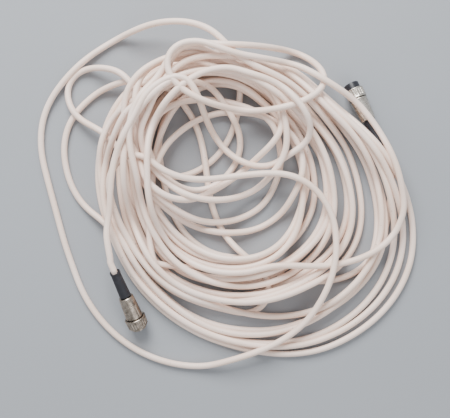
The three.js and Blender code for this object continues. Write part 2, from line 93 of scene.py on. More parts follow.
# Plugs: lengths run back from the front of the knurled ring, radii are from the plug's axis. For the
# strands over it, the socket plug is read every PLUG_FLOOR_STEP, with each edge RADIUS_STEP long.
BOOT_LENGTH = 0.025
BOOT_TAIL_R = 0.00425
BOOT_LIP_R = 0.0046
BOOT_LIP_LENGTH = 0.0016
BOOT_FRONT_R = 0.0049
BODY_LENGTH = 0.0205
BODY_TAIL_R = 0.0063
BODY_FRONT_R = 0.0076
BODY_SEAM_AT = 0.008
RING_LENGTH = 0.009
RING_RUNNING_GAP = 0.0004
JOINT_GAP = 0.0003
BODY_START = RING_LENGTH + RING_RUNNING_GAP
BOOT_START = BODY_START + BODY_LENGTH + JOINT_GAP
BOOT_END = BOOT_START + BOOT_LENGTH
PIN_RING_R = 0.0093
PIN_RING_TAPER = 0.08
SHIELD_R = 0.0066
SHIELD_WALL = 0.0006
SHIELD_PROUD = 0.0022
SOCKET_RING_R = 0.0083
SOCKET_RING_TAPER = 0.02
NOSE_R = 0.0066
NOSE_PROUD = 0.0056
PLUG_FLOOR_STEP = 0.002
RADIUS_STEP = 0.0001

# Leads: how far each starts inside its boot, how far behind the boot it heads straight on, its bend
# and how far along it isn't moved
LEAD_INSIDE = 0.002
LEAD_AHEAD = 0.010
LEAD_BEND_R = 0.055
LEAD_HELD = 0.03

# Small parts of the plugs
TURNED_SIDES = 96
BODY_SIDES = 160
SLIT_TURN = 1.9
SLIT_WIDTH = 0.0007
SLIT_DEPTH = 0.0003
SCREW_R = 0.0011
SCREW_LENGTH = 0.0016
SCREW_PROUD = 0.00025
SCREW_AT = 0.0065
RING_FLUTES = 24
FLUTE_DEPTH = 0.0005
FLUTES_FROM = 0.0008
FLUTES_TO = 0.0072
RIM_GROOVE = 0.0003
INSULATOR_LENGTH = 0.003
PIN_R = 0.00072
PIN_LENGTH = 0.0066
PIN_CIRCLE_R = 0.0035
PIN_ARC_COUNT = 7
PIN_ARC = np.radians(262)
NOSE_EDGE = 0.0009
CONTACT_HOLE_R = 0.00085
CONTACT_HOLE_DEPTH = 0.004

# Colours
JACKET_CLEAN = "#F8E4D8"
JACKET_AGED = "#F2DACA"
JACKET_STREAK = "#E9CDBC"
JACKET_DUST = "#9C9288"
RUBBER = "#1C1D24"
RUBBER_RUBBED = "#34363F"
# Both plugs carry one nickel plate, in a shaded and a lit copy. The pin plug's colours, and its tarnish
# colour too, are darkened as painted shade. The socket plug's colours are made paler as painted light.
NICKEL_PAINTED_SHADE = "#A69C90"
NICKEL_PAINTED_SHADE_DULL = "#776D62"
NICKEL_PAINTED_LIGHT = "#D8D2C8"
NICKEL_PAINTED_LIGHT_DULL = "#B5AEA4"
INSULATOR = "#17181D"
INSULATOR_FLOW = "#23252D"
CONTACT = "#E0C88E"
CONTACT_WORN = "#B89A5C"
FLOOR = "#969A9F"
FLOOR_MOTTLE = "#92969B"
ROOM = "#F2F4F8"

# Patterns of the finishes: how wide one mark of each is, in millimetres. The jacket's pebble, the
# rubber's grain, the lathe's rings and the scratches are finer on the real thing. They are drawn this
# coarse so that they show.
STREAK_WIDTH_MM = 1.414
STREAK_LENGTH_MM = 111
PATCH_MM = 41.7
SPECK_MM = 2.63
PEBBLE_MM = 0.667
GRAIN_MM = 0.385
RUB_MM = 3.85
LATHE_RING_MM = 0.385
LATHE_RING_TURNS = 2
SPOT_MM = 3.03
SCRATCH_MM = 1.11
FLOW_MM = 2.38
WEAR_MM = 0.833
MOTTLE_MM = 111

# Light: each lamp has a name, a place, a size and a power
ROOM_LIGHT = 0.85
FLOOR_SIZE = 6.0
LAMPS = [
    ("window", (-0.35, 1.15, 1.05), 0.9, 52.0),
    ("bounce", (0.9, -0.9, 1.2), 1.2, 6.5),
]

CABLE_NODES = (
    "wound_roll", "small_left_loop", "second_left_loop", "strand_under_bore", "strand_down_bore",
    "wide_inner_turn", "middle_inner_turn", "short_inner_turn", "slanting_strand", "upper_inner_turn",
    "strand_over_plug", "top_right_loop", "big_outer_loop", "lead_from_pin_plug", "lead_from_socket_plug",
)


class Plug:
    """Where a plug lies: the centre of its ring's front, its axis out of the nose and its side axes."""

    def __init__(self, front, heading, dip, roll):
        flat = np.array(heading) / np.hypot(*heading)
        dip = np.radians(dip)
        self.front = np.array(front) - np.append(FOOTPRINT_CENTRE, 0)
        self.axis = np.array([flat[0] * np.cos(dip), flat[1] * np.cos(dip), -np.sin(dip)])
        turn = Vector((0, 0, 1)).rotation_difference(Vector(self.axis))
        across = [np.array(turn @ Vector(v)) for v in ((1, 0, 0), (0, 1, 0))]
        roll = np.radians(roll)
        self.side = np.cos(roll) * across[0] + np.sin(roll) * across[1]
        self.up = np.cross(self.axis, self.side)
        self.slope = np.tan(dip)

    def at(self, behind):
        """Point on the axis, a distance behind the ring's front."""
        return self.front - np.multiply.outer(behind, self.axis)


PIN_PLUG = Plug((-0.0735, -0.1145, 0.0092), (0.35, -0.937), dip=22, roll=-40)
SOCKET_PLUG = Plug((0.1114, 0.0879, 0.0084), (-0.42, 0.9075), dip=10, roll=65)

# Stretches of the cable that stray from the wound lanes, seen from above
ROUTES = {
    "small_left_loop": [
        (-0.08, 0.093), (-0.084, 0.099), (-0.0895, 0.104), (-0.098, 0.107), (-0.108, 0.1083),
        (-0.119, 0.107), (-0.129, 0.1018), (-0.1346, 0.0935), (-0.136, 0.0844), (-0.1335, 0.0748),
        (-0.128, 0.066), (-0.1195, 0.06), (-0.108, 0.054),
    ],
    "second_left_loop": [
        (-0.072, 0.0945), (-0.078, 0.0965), (-0.086, 0.0965), (-0.095, 0.0935), (-0.108, 0.0874),
        (-0.1183, 0.0792), (-0.128, 0.0692), (-0.1346, 0.058), (-0.138, 0.0457), (-0.1386, 0.0335),
        (-0.1366, 0.0196), (-0.1322, 0.0057), (-0.1253, -0.0065), (-0.1166, -0.016), (-0.106, -0.024),
        (-0.097, -0.033),
    ],
    "strand_under_bore": [
        (-0.0430, 0.0860), (-0.034, 0.0744), (-0.0278, 0.0657), (-0.0235, 0.056),
        (-0.02, 0.0457), (-0.0174, 0.0335), (-0.0157, 0.0213), (-0.014, 0.0083), (-0.0122, -0.003),
        (-0.0096, -0.0144), (-0.0057, -0.0248), (-0.001, -0.0344), (0.0052, -0.0426), (0.013, -0.0505),
        (0.0218, -0.0579),
    ],
    "strand_down_bore": [
        (0.014, 0.091), (0.0135, 0.0796), (0.0117, 0.0683), (0.0087, 0.057), (0.0044, 0.0465),
        (-0.0017, 0.0365), (-0.0104, 0.027), (-0.021, 0.0196), (-0.0322, 0.0148), (-0.045, 0.013),
        (-0.056, 0.016), (-0.064, 0.023),
    ],
    "wide_inner_turn": [
        (-0.0645, 0.0), (-0.0625, 0.013), (-0.058, 0.0255), (-0.0505, 0.0405), (-0.0418, 0.0496),
        (-0.0313, 0.0579), (-0.02, 0.0639), (-0.0078, 0.0683), (0.0052, 0.0693), (0.02, 0.0689),
        (0.034, 0.0663), (0.0485, 0.0587), (0.06, 0.0492), (0.067, 0.036), (0.0687, 0.023),
        (0.0666, 0.0109), (0.0626, 0.0022), (0.057, -0.0083), (0.0496, -0.0183), (0.04, -0.026),
        (0.0287, -0.0318), (0.0157, -0.0346), (0.0017, -0.035), (-0.0122, -0.0335), (-0.0252, -0.0296),
        (-0.0374, -0.0235), (-0.0487, -0.0152), (-0.0592, -0.0052), (-0.0679, 0.0057),
        (-0.074, 0.0178),
    ],
    "middle_inner_turn": [
        (-0.071, 0.044), (-0.0675, 0.054), (-0.061, 0.063), (-0.052, 0.0715), (-0.042, 0.077),
        (-0.03, 0.0797), (-0.018, 0.0804), (-0.005, 0.0796), (0.007, 0.0775), (0.019, 0.0738),
        (0.031, 0.0686), (0.041, 0.0612), (0.0463, 0.05), (0.0487, 0.037), (0.0494, 0.025),
        (0.048, 0.0178), (0.0452, 0.009), (0.04, -0.0022), (0.033, -0.0117), (0.0226, -0.019),
        (0.0104, -0.0239), (-0.0026, -0.026), (-0.0157, -0.0257), (-0.0287, -0.0222), (-0.04, -0.016),
        (-0.0513, -0.0083), (-0.0618, 0.0022), (-0.0696, 0.0135), (-0.0748, 0.0257),
    ],
    "short_inner_turn": [
        (0.0044, 0.07), (0.0083, 0.063), (0.0126, 0.0544), (0.0144, 0.044), (0.0135, 0.0335),
        (0.0096, 0.024), (0.0035, 0.0152), (-0.0052, 0.0074), (-0.0157, 0.0026), (-0.027, 0.0013),
        (-0.0374, 0.004), (-0.046, 0.009), (-0.055, 0.017), (-0.062, 0.027),
    ],
    "slanting_strand": [
        (0.046, 0.0474), (0.0383, 0.0387), (0.0296, 0.0305), (0.021, 0.0226), (0.0122, 0.0152),
        (0.0026, 0.0083), (-0.0078, 0.0022), (-0.0183, -0.0035), (-0.0296, -0.0065), (-0.041, -0.006),
        (-0.0513, -0.0026), (-0.061, 0.004), (-0.069, 0.013),
    ],
    "upper_inner_turn": [
        (-0.0244, 0.127), (-0.0148, 0.1235), (-0.0035, 0.1179), (0.0096, 0.1114), (0.023, 0.104),
        (0.033, 0.0966), (0.0418, 0.0883), (0.048, 0.0783), (0.0522, 0.0666), (0.0544, 0.0544),
        (0.0544, 0.0413), (0.0513, 0.03), (0.0452, 0.0204), (0.0374, 0.011), (0.0287, 0.003),
        (0.0183, -0.0022), (0.006, -0.0057), (-0.006, -0.0068), (-0.0183, -0.006), (-0.0296, -0.003),
        (-0.041, 0.0022), (-0.0513, 0.01), (-0.061, 0.0196), (-0.068, 0.03), (-0.0713, 0.0422),
        (-0.0726, 0.0544),
    ],
    "strand_over_plug": [
        (0.066, 0.1092), (0.0792, 0.1027), (0.0922, 0.0948), (0.1053, 0.086), (0.1157, 0.0774),
        (0.1244, 0.0674), (0.1322, 0.0566), (0.14, 0.044), (0.147, 0.03), (0.152, 0.0152),
        (0.155, 0.0), (0.156, -0.016),
    ],
    "top_right_loop": [
        (-0.002, 0.1286), (0.0104, 0.1283), (0.0244, 0.1275), (0.04, 0.1257), (0.0548, 0.123),
        (0.068, 0.1188), (0.0783, 0.1127), (0.0857, 0.1053), (0.088, 0.0974), (0.0848, 0.09),
        (0.0774, 0.084), (0.067, 0.0787), (0.0548, 0.0748), (0.0418, 0.072), (0.0278, 0.0706),
        (0.0148, 0.071), (0.0017, 0.0735), (-0.0096, 0.0767), (-0.02, 0.0806), (-0.0305, 0.086),
        (-0.0392, 0.0922), (-0.0452, 0.0987), (-0.0492, 0.1074), (-0.0496, 0.1157), (-0.046, 0.123),
        (-0.0383, 0.1292), (-0.027, 0.1314), (-0.0175, 0.1306), (-0.0096, 0.128),
    ],
    "big_outer_loop": [
        (0.033, 0.107), (0.0226, 0.1122), (0.0139, 0.1176), (0.007, 0.1235), (0.0005, 0.1305),
        (-0.0096, 0.14), (-0.0244, 0.1464), (-0.041, 0.1486), (-0.06, 0.1466), (-0.0774, 0.1405),
        (-0.1, 0.1285), (-0.121, 0.1144), (-0.134, 0.102), (-0.1446, 0.089), (-0.153, 0.0744),
        (-0.1576, 0.0596),
        (-0.1588, 0.0448), (-0.1575, 0.03), (-0.1536, 0.0135), (-0.146, -0.015), (-0.1375, -0.0457),
        (-0.1315, -0.063), (-0.124, -0.083), (-0.1148, -0.0996), (-0.1018, -0.116), (-0.0844, -0.131),
        (-0.0644, -0.142), (-0.041, -0.149), (-0.0165, -0.1505), (0.0052, -0.1457), (0.026, -0.1392),
        (0.0444, -0.1314), (0.06, -0.1218), (0.074, -0.1088), (0.0844, -0.0935), (0.0922, -0.077),
        (0.0966, -0.0587), (0.0974, -0.0413), (0.0948, -0.023), (0.0896, -0.011), (0.081, 0.001),
        (0.0696, 0.01), (0.0566, 0.0152), (0.0418, 0.0167), (0.0244, 0.0157), (0.0052, 0.0135),
        (-0.014, 0.0113), (-0.0296, 0.0117), (-0.0435, 0.0152), (-0.0548, 0.0204), (-0.0644, 0.0283),
    ],
    "pin_lead": [
        (-0.0944, -0.056), (-0.0963, -0.046), (-0.098, -0.034), (-0.0989, -0.0204), (-0.0989, -0.0065),
        (-0.0983, 0.0074), (-0.0966, 0.0213), (-0.093, 0.0352), (-0.088, 0.0483), (-0.081, 0.0618),
        (-0.0748, 0.0735), (-0.0687, 0.0844), (-0.061, 0.0922), (-0.0513, 0.0983), (-0.0418, 0.1014),
        (-0.0344, 0.1003), (-0.029, 0.0957), (-0.0252, 0.0892), (-0.0213, 0.081), (-0.0183, 0.0713),
        (-0.0148, 0.0618), (-0.0096, 0.051), (-0.0035, 0.0418), (0.0035, 0.0344), (0.0122, 0.0283),
        (0.0218, 0.024), (0.0313, 0.0222), (0.04, 0.023), (0.048, 0.027),
    ],
    "socket_lead": [
        (0.1386, 0.029), (0.1425, 0.015), (0.144, 0.0), (0.143, -0.016), (0.139, -0.034), (0.132, -0.05),
    ],
}

# Hidden or merging ends of those stretches: how they come out of the wound lanes and go back
LEAD_INS = {
    "strand_down_bore": [(-0.030, 0.1150), (-0.010, 0.1150), (0.0060, 0.1080), (0.0125, 0.1000)],
    "strand_under_bore": [
        (-0.0700, 0.0340), (-0.0750, 0.0470), (-0.0770, 0.0600), (-0.0755, 0.0720), (-0.0705, 0.0830),
        (-0.0620, 0.0910), (-0.0520, 0.0920),
    ],
    "small_left_loop": [(-0.0850, 0.0200), (-0.0880, 0.0310), (-0.0960, 0.0440)],
    "short_inner_turn": [(-0.040, 0.0960), (-0.026, 0.0965), (-0.012, 0.0915), (-0.003, 0.0815)],
    "slanting_strand": [(0.020, 0.100), (0.033, 0.092), (0.043, 0.082), (0.049, 0.070), (0.0505, 0.058)],
    "upper_inner_turn": [
        (-0.085, 0.070), (-0.072, 0.080), (-0.060, 0.090), (-0.052, 0.100), (-0.048, 0.110),
        (-0.044, 0.1195), (-0.036, 0.1265),
    ],
    "big_outer_loop": [
        (-0.1000, 0.0050), (-0.0985, 0.0170), (-0.092, 0.0270), (-0.083, 0.0325), (-0.073, 0.0325),
    ],
    "top_right_loop": [
        (-0.070, 0.088), (-0.060, 0.097), (-0.053, 0.107), (-0.047, 0.118), (-0.038, 0.1265),
        (-0.027, 0.1300), (-0.014, 0.1295),
    ],
    "pin_lead": [
        (0.020, 0.104), (0.034, 0.1000), (0.048, 0.0935), (0.0600, 0.0840), (0.0695, 0.0720),
        (0.0750, 0.0600), (0.0750, 0.0500), (0.0705, 0.0420), (0.0630, 0.0370), (0.0560, 0.0325),
    ],
}
LEAD_OUTS = {
    "second_left_loop": [(-0.0640, 0.0935), (-0.0550, 0.0955), (-0.0460, 0.0990)],
    "small_left_loop": [(-0.0750, 0.0885), (-0.0680, 0.0865), (-0.0590, 0.0880), (-0.0490, 0.0915)],
    "strand_under_bore": [
        (0.031, -0.066), (0.038, -0.077), (0.039, -0.089), (0.033, -0.099), (0.022, -0.105),
    ],
    "top_right_loop": [
        (0.0035, 0.1230), (0.0139, 0.1200), (0.0270, 0.1175), (0.0400, 0.1153), (0.0530, 0.1125),
    ],
}

# The cable's course from the socket plug to the pin plug, which is also the order in which it was
# laid: a stretch, whether it is followed backwards, and the whole turns wound before it. None means
# that the stretch follows on from the one before it.
COURSE = [
    ("strand_down_bore", False, 6),
    ("strand_under_bore", False, None),
    ("second_left_loop", True, 2),
    ("small_left_loop", True, 2),
    ("wide_inner_turn", False, 1),
    ("middle_inner_turn", False, None),
    ("short_inner_turn", False, 1),
    ("slanting_strand", False, 0),
    ("upper_inner_turn", False, 1),
    ("big_outer_loop", True, 0),
    ("top_right_loop", False, 1),
    ("strand_over_plug", False, None),
    ("pin_lead", True, 0),
]

# Crossings where the stretch named first lies on top, against the order of laying
OVER = [
    ("top_right_loop", "pin_lead", (-0.0210, 0.0815)),
    ("upper_inner_turn", "pin_lead", (0.0500, 0.0290)),
]
OVER_REACH = 0.014
OVER_LIFT = 0.008

# The big loop lies over all that was laid after it, but for its inner end and its end on the roll
BIG_LOOP_ON_TOP_FROM = -0.052
BIG_LOOP_ON_TOP_BELOW = 0.100


def around(values, turn):
    """Closed Catmull-Rom curve through equally spaced values, read at a turn in radians."""
    values = np.asarray(values)
    place = np.mod(turn / (2 * np.pi), 1) * len(values)
    first = np.floor(place).astype(int)
    share = place - first
    before, at, after, later = (values[(first + k) % len(values)] for k in (-1, 0, 1, 2))
    return 0.5 * (
        2 * at
        + (after - before) * share
        + (2 * before - 5 * at + 4 * after - later) * share**2
        + (3 * at - before - 3 * after + later) * share**3
    )


def lane_radius(turn, lane):
    """Radius of a lane at a turn: straight between the guide curves on both sides of it."""
    places = [place for place, _ in LANE_GUIDES]
    guides = [around(radii, turn) for _, radii in LANE_GUIDES]
    radius = guides[0]
    for i in range(1, len(places)):
        share = np.clip((lane - places[i - 1]) / (places[i] - places[i - 1]), 0, 1)
        radius = radius + share * (guides[i] - guides[i - 1])
    return radius


def lane_at(wound, wander):
    """Lane after a number of turns: from one of LANE_ORDER to the next in each turn, plus slow waves."""
    order = np.array([lane / LANES_ACROSS for lane in LANE_ORDER])
    first = np.floor(wound).astype(int)
    share = smooth(wound - first)
    lane = order[first % len(order)] * (1 - share) + order[(first + 1) % len(order)] * share
    for rate, phase in wander:
        lane = lane + LANE_WANDER * np.sin(2 * np.pi * rate * wound + phase)
    return np.clip(lane, LANE_GUIDES[0][0], 1)


def polar(point):
    """Turn and radius of a point about the roll's centre."""
    dx, dy = np.asarray(point) - ROLL_CENTRE
    return np.arctan2(dy, dx), np.hypot(dx, dy)


def smooth(share):
    """Step from 0 to 1 that starts and ends level: 3 share squared less 2 share cubed."""
    share = np.clip(share, 0, 1)
    return share * share * (3 - 2 * share)


def wind(start, end, whole_turns, wound, wander):
    """Points from start to end, clockwise round the roll in its lanes. The radius is the lane's, and
    near each end the way from the lane to that end's own radius is blended in."""
    start_turn, start_r = polar(start)
    end_turn, end_r = polar(end)
    sweep = np.mod(start_turn - end_turn, 2 * np.pi) + 2 * np.pi * whole_turns
    count = int(round(sweep / RING_POINT_SPACING))
    swept = np.linspace(0, sweep, count + 1)[1:-1]
    turn = start_turn - swept
    radius = lane_radius(turn, lane_at(wound + swept / (2 * np.pi), wander))
    first_gap = start_r - lane_radius(start_turn, lane_at(np.array(wound), wander))
    last_wound = wound + sweep / (2 * np.pi)
    last_gap = end_r - lane_radius(end_turn, lane_at(np.array(last_wound), wander))
    blend = min(RING_BLEND, sweep / 2)
    radius = radius + first_gap * (1 - smooth(swept / blend))
    radius = radius + last_gap * (1 - smooth((sweep - swept) / blend))
    points = ROLL_CENTRE + np.stack([radius * np.cos(turn), radius * np.sin(turn)], axis=1)
    return points, last_wound


def course():
    """Points of the whole cable seen from above, and the name of the stretch that each belongs to."""
    random = np.random.default_rng(WANDER_SEED)
    wander = [(rate, random.uniform(0, 2 * np.pi)) for rate in WANDER_RATES]
    points = [SOCKET_PLUG.at(BOOT_END - LEAD_INSIDE)[:2] + FOOTPRINT_CENTRE]
    points += [SOCKET_PLUG.at(BOOT_END + LEAD_AHEAD)[:2] + FOOTPRINT_CENTRE]
    points += [np.array(p) for p in ROUTES["socket_lead"]]
    names = ["socket_lead"] * len(points)
    wound = 0.0
    for name, backwards, whole_turns in COURSE:
        stretch = ROUTES[name][::-1] if backwards else ROUTES[name]
        stretch = LEAD_INS.get(name, []) + stretch + LEAD_OUTS.get(name, [])
        if whole_turns is not None:
            lanes, wound = wind(points[-1], stretch[0], whole_turns, wound, wander)
            points += list(lanes)
            names += ["wound"] * len(lanes)
        points += [np.array(p) for p in stretch]
        names += [name] * len(stretch)
    points += [PIN_PLUG.at(BOOT_END + LEAD_AHEAD)[:2] + FOOTPRINT_CENTRE]
    points += [PIN_PLUG.at(BOOT_END - LEAD_INSIDE)[:2] + FOOTPRINT_CENTRE]
    names += ["pin_lead"] * 2
    return np.array(points) - FOOTPRINT_CENTRE, names


def spline(points, spacing):
    """Centripetal Catmull-Rom curve through the points, at even distances, and each point's place on it.

    Between two points the curve blends the two parabolas through their neighbours, with knots
    spaced by the root of the points' distance."""
    ends = [2 * points[0] - points[1], 2 * points[-1] - points[-2]]
    p = np.vstack([ends[:1], points, ends[1:]])
    knot = np.concatenate([[0], np.cumsum(np.sqrt(np.linalg.norm(np.diff(p, axis=0), axis=1)))])
    share = np.linspace(0, 1, SPLINE_STEPS, endpoint=False)[None, :, None]
    t0, t1, t2, t3 = (knot[k : len(knot) - 3 + k, None, None] for k in range(4))
    p0, p1, p2, p3 = (p[k : len(p) - 3 + k, None, :] for k in range(4))
    t = t1 + (t2 - t1) * share
    a1 = (t1 - t) / (t1 - t0) * p0 + (t - t0) / (t1 - t0) * p1
    a2 = (t2 - t) / (t2 - t1) * p1 + (t - t1) / (t2 - t1) * p2
    a3 = (t3 - t) / (t3 - t2) * p2 + (t - t2) / (t3 - t2) * p3
    b1 = (t2 - t) / (t2 - t0) * a1 + (t - t0) / (t2 - t0) * a2
    b2 = (t3 - t) / (t3 - t1) * a2 + (t - t1) / (t3 - t1) * a3
    fine = ((t2 - t) / (t2 - t1) * b1 + (t - t1) / (t2 - t1) * b2).reshape(-1, points.shape[1])
    fine = np.vstack([fine, points[-1:]])
    along = np.concatenate([[0], np.cumsum(np.linalg.norm(np.diff(fine, axis=0), axis=1))])
    count = int(round(along[-1] / spacing))
    even = np.linspace(0, along[-1], count + 1)
    curve = np.stack([np.interp(even, along, fine[:, k]) for k in range(points.shape[1])], axis=1)
    return curve, np.interp(even, along, np.arange(len(fine)) / share.size)


def soften(values, rounds):
    """Each value moves to the average of itself and its neighbours, rounds times, with the ends held."""
    values = values.copy()
    for _ in range(rounds):
        values[1:-1] = (values[:-2] + 2 * values[1:-1] + values[2:]) / 4
    return values


def contacts(flat, names):
    """Pairs of points of the cable that overlap seen from above: the one laid first, the one laid later,
    their distance, and whether the first lies on top all the same. LAY_BLOCK points are compared with
    all the others at a time."""
    firsts, laters, aparts = [], [], []
    for begin in range(0, len(flat), LAY_BLOCK):
        block = flat[begin : begin + LAY_BLOCK]
        apart = np.linalg.norm(block[:, None] - flat[None], axis=2)
        first, later = np.nonzero(apart < LAY_CONTACT)
        keep = later - (first + begin) > LAY_SKIP
        firsts.append(first[keep] + begin)
        laters.append(later[keep])
        aparts.append(apart[first[keep], later[keep]])
    first, later, apart = (np.concatenate(a) for a in (firsts, laters, aparts))
    place = flat + FOOTPRINT_CENTRE
    on_top = (names == "big_outer_loop") & (place[:, 0] > BIG_LOOP_ON_TOP_FROM)
    on_top &= place[:, 1] < BIG_LOOP_ON_TOP_BELOW
    swapped = on_top[first] & ~on_top[later]
    for over, under, where in OVER:
        near = np.linalg.norm(place - np.array(where), axis=1) < OVER_REACH
        both = near[first] & near[later]
        swapped |= (names[first] == over) & (names[later] == under) & both
    return first, later, apart, swapped


def plug_floor(flat, names):
    """Least height of each point over the socket plug, which other stretches of the cable lie on."""
    behind = np.arange(-NOSE_PROUD, BOOT_END, PLUG_FLOOR_STEP)
    radii = np.interp(
        behind,
        [0, RADIUS_STEP, BODY_START, BODY_START + RADIUS_STEP, BOOT_START, BOOT_START + RADIUS_STEP],
        [NOSE_R, SOCKET_RING_R, SOCKET_RING_R, BODY_FRONT_R, BODY_TAIL_R, BOOT_FRONT_R],
    )
    centres = SOCKET_PLUG.at(behind)
    apart = np.linalg.norm(flat[:, None] - centres[None, :, :2], axis=2)
    lift = (radii + CABLE_R + JOINT_GAP)[None] ** 2 - apart**2
    height = np.where(lift > 0, centres[None, :, 2] + np.sqrt(np.maximum(lift, 0)), 0).max(axis=1)
    height[names == "socket_lead"] = 0
    return np.maximum(height, CABLE_R)


def lead_height(plug, along):
    """Height of a lead: straight on out of the boot, then in a bend down to what it lies on."""
    crest = plug.slope * LEAD_BEND_R
    bend = np.where(along < crest, LEAD_BEND_R, LAY_BEND_R)
    return plug.at(BOOT_END)[2] + plug.slope * crest / 2 - (along - crest) ** 2 / (2 * bend)


def settle(rest, lower, upper, lift, bend, ceiling):
    """Heights of points that each lie on what is below it, up to a ceiling. From each rest the cable
    falls away to both sides in a parabola of its bend radius."""
    rest = rest.copy()
    order = np.argsort(upper, kind="stable")
    lower, upper, lift = lower[order], upper[order], lift[order]
    starts = np.flatnonzero(np.diff(upper, prepend=-1))
    raised = upper[starts]
    reach = int(np.sqrt(2 * bend.max() * LAY_FALL) / CABLE_STEP)
    for _ in range(LAY_ROUNDS):
        height = rest.copy()
        for k in range(1, reach):
            fallen = rest - (k * CABLE_STEP) ** 2 / (2 * bend)
            height[k:] = np.maximum(height[k:], fallen[:-k])
            height[:-k] = np.maximum(height[:-k], fallen[k:])
        needed = np.minimum(np.maximum.reduceat(height[lower] + lift, starts), ceiling[raised])
        if (needed - height[raised]).max() < LAY_SLACK:
            break
        rest[raised] = np.maximum(rest[raised], needed)
    return height


def lay(flat, names):
    """Heights of the cable's centre. It rests on the floor, on the plug and on each strand below it:
    two strands a distance apart, seen from above, touch at a height of the root of diameter squared
    less distance squared. First all is laid in order. Then what lies on top against that order is
    lifted, and it lifts what lies on it, by no more than OVER_LIFT."""
    along = np.arange(len(flat)) * CABLE_STEP
    rest = np.maximum(plug_floor(flat, names), lead_height(SOCKET_PLUG, along))
    rest = np.maximum(rest, lead_height(PIN_PLUG, along[-1] - along))
    first, later, apart, swapped = contacts(flat, names)
    lift = np.sqrt(LAY_CONTACT**2 - apart**2)
    bend = np.full(len(flat), LAY_BEND_R)
    bend[names == "big_outer_loop"] = BIG_LOOP_BEND_R
    bend[np.isin(names, ("pin_lead", "top_right_loop"))] = HOOK_BEND_R
    plain = ~swapped
    top = np.full(len(flat), HIGHEST_CENTRE)
    height = settle(rest, first[plain], later[plain], lift[plain], bend, top)
    lower = np.where(swapped, later, first)
    upper = np.where(swapped, first, later)
    ceiling = np.minimum(height + OVER_LIFT, top)
    return soften(settle(rest, lower, upper, lift, bend, ceiling), HEIGHT_SOFTENING)


def cable_path():
    """Centreline of the whole cable. The routes are as the photo shows them, where what is raised seems
    further from the middle of the picture than it is, so raised points are moved in towards it."""
    points, names = course()
    flat, places = spline(points, CABLE_STEP)
    ends = flat[:ENDS_HELD].copy(), flat[-ENDS_HELD:].copy()
    flat = soften(flat, ROUTE_SOFTENING)
    flat[:ENDS_HELD], flat[-ENDS_HELD:] = ends
    names = np.array(names)[np.minimum(np.round(places).astype(int), len(names) - 1)]
    height = lay(flat, names)
    along = np.arange(len(flat)) * CABLE_STEP
    loose = smooth((along - LEAD_HELD) / LEAD_HELD) * smooth((along[-1] - along - LEAD_HELD) / LEAD_HELD)
    nearer = loose * (height - CABLE_R) / CAMERA_HEIGHT
    flat = flat - nearer[:, None] * (flat - np.array(CAMERA_OVER))
    return np.column_stack([flat, height])


def mesh_object(name, vertices, faces, uvs=None):
    """Object of a mesh with smooth faces. uvs has one pair for each corner of each face."""
    mesh = bpy.data.meshes.new(name)
    mesh.from_pydata(vertices.tolist(), [], faces)
    if uvs is not None:
        layer = mesh.uv_layers.new(name="surface")
        layer.data.foreach_set("uv", np.asarray(uvs, np.float32).ravel())
    mesh.shade_smooth()
    mesh.update()
    made = bpy.data.objects.new(name, mesh)
    bpy.context.scene.collection.objects.link(made)
    return made


def grid_faces(rows, columns, wrap_rows=False):
    """Quads between the rows of a grid whose columns close on themselves, and their corners' places."""
    row = np.arange(rows if wrap_rows else rows - 1)
    column = np.arange(columns)
    r, c = (a.ravel() for a in np.meshgrid(row, column, indexing="ij"))
    corners = np.stack([(r, c), (r, c + 1), (r + 1, c + 1), (r + 1, c)], axis=0)
    faces = (corners[:, 0] % rows) * columns + corners[:, 1] % columns
    return faces.T, corners.transpose(2, 0, 1)


def cable():
    """Tube of CABLE_SIDES sides carried along the path: point = centre + radius * (cos turn * side
    + sin turn * up), where side is level and square to the path. Its ends are closed by a fan."""
    path = cable_path()
    tangent = np.gradient(path, axis=0)
    tangent /= np.linalg.norm(tangent, axis=1, keepdims=True)
    side = np.cross(tangent, [0, 0, 1])
    side /= np.linalg.norm(side, axis=1, keepdims=True)
    up = np.cross(tangent, side)
    turn = np.linspace(0, 2 * np.pi, CABLE_SIDES, endpoint=False)
    ring = np.cos(turn)[None, :, None] * side[:, None] + np.sin(turn)[None, :, None] * up[:, None]
    vertices = (path[:, None] + CABLE_R * ring).reshape(-1, 3)
    faces, corners = grid_faces(len(path), CABLE_SIDES)
    along = np.concatenate([[0], np.cumsum(np.linalg.norm(np.diff(path, axis=0), axis=1))])
    uvs = np.stack([corners[..., 1] / CABLE_SIDES, along[corners[..., 0]]], axis=-1).reshape(-1, 2)
    centres = np.array([path[0], path[-1]])
    first_centre = len(vertices)
    vertices = np.vstack([vertices, centres])
    side_index = np.arange(CABLE_SIDES)
    next_index = (side_index + 1) % CABLE_SIDES
    last_row = (len(path) - 1) * CABLE_SIDES
    hub = np.full(CABLE_SIDES, first_centre)
    start_fan = np.stack([hub, next_index, side_index], axis=1)
    end_fan = np.stack([hub + 1, last_row + side_index, last_row + next_index], axis=1)
    faces = faces.tolist() + start_fan.tolist() + end_fan.tolist()
    uvs = np.vstack([uvs, np.zeros((6 * CABLE_SIDES, 2))])
    return mesh_object("cable", vertices, faces, uvs), path, along[-1]


class Spindle:
    """An axis that a piece is turned about: an origin, the axis and a direction square to it."""

    def __init__(self, origin, axis, side):
        self.origin = np.asarray(origin)
        self.axis = axis
        self.side = side
        self.up = np.cross(axis, side)

    def at(self, behind):
        """Point on the axis, a distance behind the origin."""
        return self.origin - np.multiply.outer(behind, self.axis)


def rounded(corners, bend, steps=4):
    """Outline whose inner corners become short parabolas, from bend before a corner to bend after it."""
    corners = np.array(corners, float)
    points = [corners[0]]
    for before, at, after in zip(corners[:-2], corners[1:-1], corners[2:]):
        first = at + (before - at) * min(0.45, bend / np.linalg.norm(before - at))
        last = at + (after - at) * min(0.45, bend / np.linalg.norm(after - at))
        share = np.linspace(0, 1, steps + 1)[:, None]
        points.extend((1 - share) ** 2 * first + 2 * share * (1 - share) * at + share**2 * last)
    points.append(corners[-1])
    return np.array(points)


